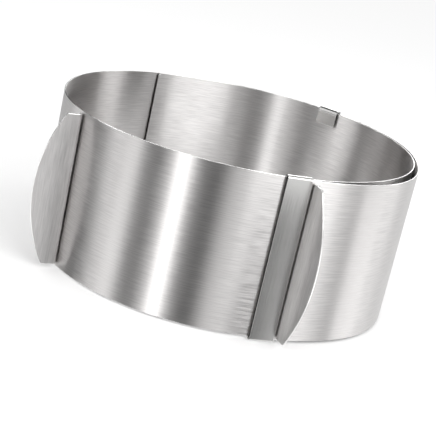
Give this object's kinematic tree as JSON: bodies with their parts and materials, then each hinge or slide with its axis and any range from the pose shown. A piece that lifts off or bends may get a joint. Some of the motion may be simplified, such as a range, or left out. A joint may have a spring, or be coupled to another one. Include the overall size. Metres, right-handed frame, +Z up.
{
  "type": "adjustable cake ring",
  "caption": "Open ring coiled from a sliding brushed steel strip, with bent grip handles and holding clips, set wider or narrower to mould or cut round cakes and mousse.",
  "frame": {"origin": "bottom centre of the box round the whole ring, on the surface it stands on", "axes": "+Z up along the ring's axis, -Y towards the front between the two handles, +X to the right seen from the front"},
  "size_m": [0.1988, 0.2082, 0.0874],
  "materials": {
    "band": "stainless steel strip, fine brush lines along its length",
    "clip": "bright rolled stainless steel",
    "handle": "satin stainless steel sheet"
  },
  "bodies": {
    "link_01": {"band_link_01": "band", "end_clip": "clip", "end_handle": "handle"},
    "link_02": {"band_link_02": "band"},
    "link_03": {"band_link_03": "band"},
    "link_04": {"band_link_04": "band"},
    "link_05": {"band_link_05": "band"},
    "link_06": {"band_link_06": "band"},
    "link_07": {"band_link_07": "band", "guide_clip": "clip"},
    "link_08": {"band_link_08": "band"},
    "link_09": {"band_link_09": "band"},
    "link_10": {"band_link_10": "band"},
    "link_11": {"band_link_11": "band"},
    "link_12": {"band_link_12": "band"},
    "link_13": {"band_link_13": "band"},
    "link_14": {"band_link_14": "band"},
    "link_15": {"band_link_15": "band", "fixed_handle": "handle"},
    "link_16": {"band_link_16": "band"},
    "link_17": {"band_link_17": "band"},
    "link_18": {"band_link_18": "band"},
    "link_19": {"band_link_19": "band"},
    "link_20": {"band_link_20": "band"},
    "link_21": {"band_link_21": "band"},
    "link_22": {"band_link_22": "band"},
    "link_23": {"band_link_23": "band"},
    "link_24": {"band_link_24": "band"},
    "link_25": {"band_link_25": "band"},
    "link_26": {"band_link_26": "band"},
    "link_27": {"band_link_27": "band"},
    "link_28": {"band_link_28": "band"}
  },
  "joints": [
    {"name": "resize_14_15", "type": "hinge", "parent": "link_15", "child": "link_14", "pos_m": [-0.08918, -0.03732, 0], "axis": [0, 0, 1], "range_deg": [-4.4, 6]},
    {"name": "resize_13_14", "type": "hinge", "parent": "link_14", "child": "link_13", "pos_m": [-0.09853, -0.00442, 0], "axis": [0, 0, 1], "range_deg": [-4.41, 6.01]},
    {"name": "resize_12_13", "type": "hinge", "parent": "link_13", "child": "link_12", "pos_m": [-0.09609, 0.02974, 0], "axis": [0, 0, 1], "range_deg": [-4.41, 6]},
    {"name": "resize_11_12", "type": "hinge", "parent": "link_12", "child": "link_11", "pos_m": [-0.08211, 0.06103, 0], "axis": [0, 0, 1], "range_deg": [-4.4, 5.99]},
    {"name": "resize_10_11", "type": "hinge", "parent": "link_11", "child": "link_10", "pos_m": [-0.05825, 0.08569, 0], "axis": [0, 0, 1], "range_deg": [-4.39, 5.98]},
    {"name": "resize_09_10", "type": "hinge", "parent": "link_10", "child": "link_09", "pos_m": [-0.02738, 0.10073, 0], "axis": [0, 0, 1], "range_deg": [-4.38, 5.97]},
    {"name": "resize_08_09", "type": "hinge", "parent": "link_09", "child": "link_08", "pos_m": [0.0068, 0.10433, 0], "axis": [0, 0, 1], "range_deg": [-4.38, 5.96]},
    {"name": "resize_07_08", "type": "hinge", "parent": "link_08", "child": "link_07", "pos_m": [0.04019, 0.09602, 0], "axis": [0, 0, 1], "range_deg": [-4.37, 5.95]},
    {"name": "resize_06_07", "type": "hinge", "parent": "link_07", "child": "link_06", "pos_m": [0.06876, 0.07679, 0], "axis": [0, 0, 1], "range_deg": [-4.36, 5.94]},
    {"name": "resize_05_06", "type": "hinge", "parent": "link_06", "child": "link_05", "pos_m": [0.08906, 0.04893, 0], "axis": [0, 0, 1], "range_deg": [-4.36, 5.93]},
    {"name": "resize_04_05", "type": "hinge", "parent": "link_05", "child": "link_04", "pos_m": [0.09863, 0.01578, 0], "axis": [0, 0, 1], "range_deg": [-4.35, 5.92]},
    {"name": "resize_03_04", "type": "hinge", "parent": "link_04", "child": "link_03", "pos_m": [0.09781, -0.01906, 0], "axis": [0, 0, 1], "range_deg": [-4.34, 5.91]},
    {"name": "resize_02_03", "type": "hinge", "parent": "link_03", "child": "link_02", "pos_m": [0.08546, -0.05242, 0], "axis": [0, 0, 1], "range_deg": [-4.34, 5.9]},
    {"name": "resize_01_02", "type": "hinge", "parent": "link_02", "child": "link_01", "pos_m": [0.05954, -0.07689, 0], "axis": [0, 0, 1], "range_deg": [-4.33, 5.89]},
    {"name": "resize_15_16", "type": "hinge", "parent": "link_15", "child": "link_16", "pos_m": [-0.06916, -0.06502, 0], "axis": [0, 0, 1], "range_deg": [-6.03, 4.43]},
    {"name": "resize_16_17", "type": "hinge", "parent": "link_16", "child": "link_17", "pos_m": [-0.04091, -0.0842, 0], "axis": [0, 0, 1], "range_deg": [-6.04, 4.43]},
    {"name": "resize_17_18", "type": "hinge", "parent": "link_17", "child": "link_18", "pos_m": [-0.00784, -0.09257, 0], "axis": [0, 0, 1], "range_deg": [-6.05, 4.44]},
    {"name": "resize_18_19", "type": "hinge", "parent": "link_18", "child": "link_19", "pos_m": [0.02607, -0.08914, 0], "axis": [0, 0, 1], "range_deg": [-6.06, 4.45]},
    {"name": "resize_19_20", "type": "hinge", "parent": "link_19", "child": "link_20", "pos_m": [0.05674, -0.07434, 0], "axis": [0, 0, 1], "range_deg": [-6.07, 4.46]},
    {"name": "resize_20_21", "type": "hinge", "parent": "link_20", "child": "link_21", "pos_m": [0.08048, -0.04999, 0], "axis": [0, 0, 1], "range_deg": [-6.08, 4.46]},
    {"name": "resize_21_22", "type": "hinge", "parent": "link_21", "child": "link_22", "pos_m": [0.09446, -0.01902, 0], "axis": [0, 0, 1], "range_deg": [-6.09, 4.47]},
    {"name": "resize_22_23", "type": "hinge", "parent": "link_22", "child": "link_23", "pos_m": [0.09702, 0.01483, 0], "axis": [0, 0, 1], "range_deg": [-6.1, 4.48]},
    {"name": "resize_23_24", "type": "hinge", "parent": "link_23", "child": "link_24", "pos_m": [0.08787, 0.04749, 0], "axis": [0, 0, 1], "range_deg": [-6.11, 4.48]},
    {"name": "resize_24_25", "type": "hinge", "parent": "link_24", "child": "link_25", "pos_m": [0.06813, 0.07503, 0], "axis": [0, 0, 1], "range_deg": [-6.12, 4.49]},
    {"name": "resize_25_26", "type": "hinge", "parent": "link_25", "child": "link_26", "pos_m": [0.0402, 0.09416, 0], "axis": [0, 0, 1], "range_deg": [-6.13, 4.5]},
    {"name": "resize_26_27", "type": "hinge", "parent": "link_26", "child": "link_27", "pos_m": [0.00744, 0.10258, 0], "axis": [0, 0, 1], "range_deg": [-6.14, 4.5]},
    {"name": "resize_27_28", "type": "hinge", "parent": "link_27", "child": "link_28", "pos_m": [-0.02618, 0.09931, 0], "axis": [0, 0, 1], "range_deg": [-6.15, 4.51]}
  ],
  "couplings": [
    {"joint": "resize_13_14", "follows": "resize_14_15", "ratio": 0.9984},
    {"joint": "resize_12_13", "follows": "resize_14_15", "ratio": 0.9968},
    {"joint": "resize_11_12", "follows": "resize_14_15", "ratio": 0.9952},
    {"joint": "resize_10_11", "follows": "resize_14_15", "ratio": 0.9936},
    {"joint": "resize_09_10", "follows": "resize_14_15", "ratio": 0.992},
    {"joint": "resize_08_09", "follows": "resize_14_15", "ratio": 0.9904},
    {"joint": "resize_07_08", "follows": "resize_14_15", "ratio": 0.9888},
    {"joint": "resize_06_07", "follows": "resize_14_15", "ratio": 0.9871},
    {"joint": "resize_05_06", "follows": "resize_14_15", "ratio": 0.9855},
    {"joint": "resize_04_05", "follows": "resize_14_15", "ratio": 0.9839},
    {"joint": "resize_03_04", "follows": "resize_14_15", "ratio": 0.9823},
    {"joint": "resize_02_03", "follows": "resize_14_15", "ratio": 0.9807},
    {"joint": "resize_01_02", "follows": "resize_14_15", "ratio": 0.9791},
    {"joint": "resize_15_16", "follows": "resize_14_15", "ratio": -1.0016},
    {"joint": "resize_16_17", "follows": "resize_14_15", "ratio": -1.0032},
    {"joint": "resize_17_18", "follows": "resize_14_15", "ratio": -1.0048},
    {"joint": "resize_18_19", "follows": "resize_14_15", "ratio": -1.0064},
    {"joint": "resize_19_20", "follows": "resize_14_15", "ratio": -1.008},
    {"joint": "resize_20_21", "follows": "resize_14_15", "ratio": -1.0096},
    {"joint": "resize_21_22", "follows": "resize_14_15", "ratio": -1.0112},
    {"joint": "resize_22_23", "follows": "resize_14_15", "ratio": -1.0129},
    {"joint": "resize_23_24", "follows": "resize_14_15", "ratio": -1.0145},
    {"joint": "resize_24_25", "follows": "resize_14_15", "ratio": -1.0161},
    {"joint": "resize_25_26", "follows": "resize_14_15", "ratio": -1.0177},
    {"joint": "resize_26_27", "follows": "resize_14_15", "ratio": -1.0193},
    {"joint": "resize_27_28", "follows": "resize_14_15", "ratio": -1.0209}
  ]
}
